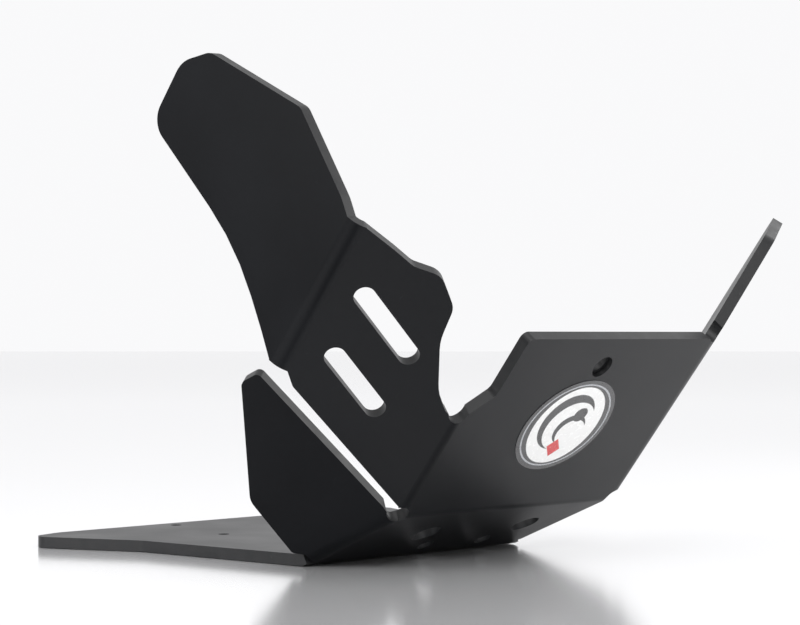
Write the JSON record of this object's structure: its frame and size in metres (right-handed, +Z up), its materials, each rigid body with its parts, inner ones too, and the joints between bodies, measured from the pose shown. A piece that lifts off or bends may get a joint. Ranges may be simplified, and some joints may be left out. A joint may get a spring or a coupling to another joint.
{
  "type": "motorcycle skid plate",
  "caption": "Folded black plastic skid plate with side wings, a tall slotted guard arm, drain holes and an oval front sticker.",
  "frame": {"origin": "on the underside of the bottom plate, midway between the front pair of its mounting holes", "axes": "+Z up, -Y towards the front of the motorcycle, -X towards the guard arm"},
  "size_m": [0.4547, 0.4183, 0.3343],
  "materials": {
    "black_plastic": "semi-gloss high-density polyethylene sheet, faintly mottled, with paler routed edges",
    "sticker_vinyl": "glossy printed vinyl with a black ring and a pale oval field"
  },
  "bodies": {
    "root": {"skid_plate": "black_plastic", "oval_sticker": "sticker_vinyl"}
  },
  "joints": []
}
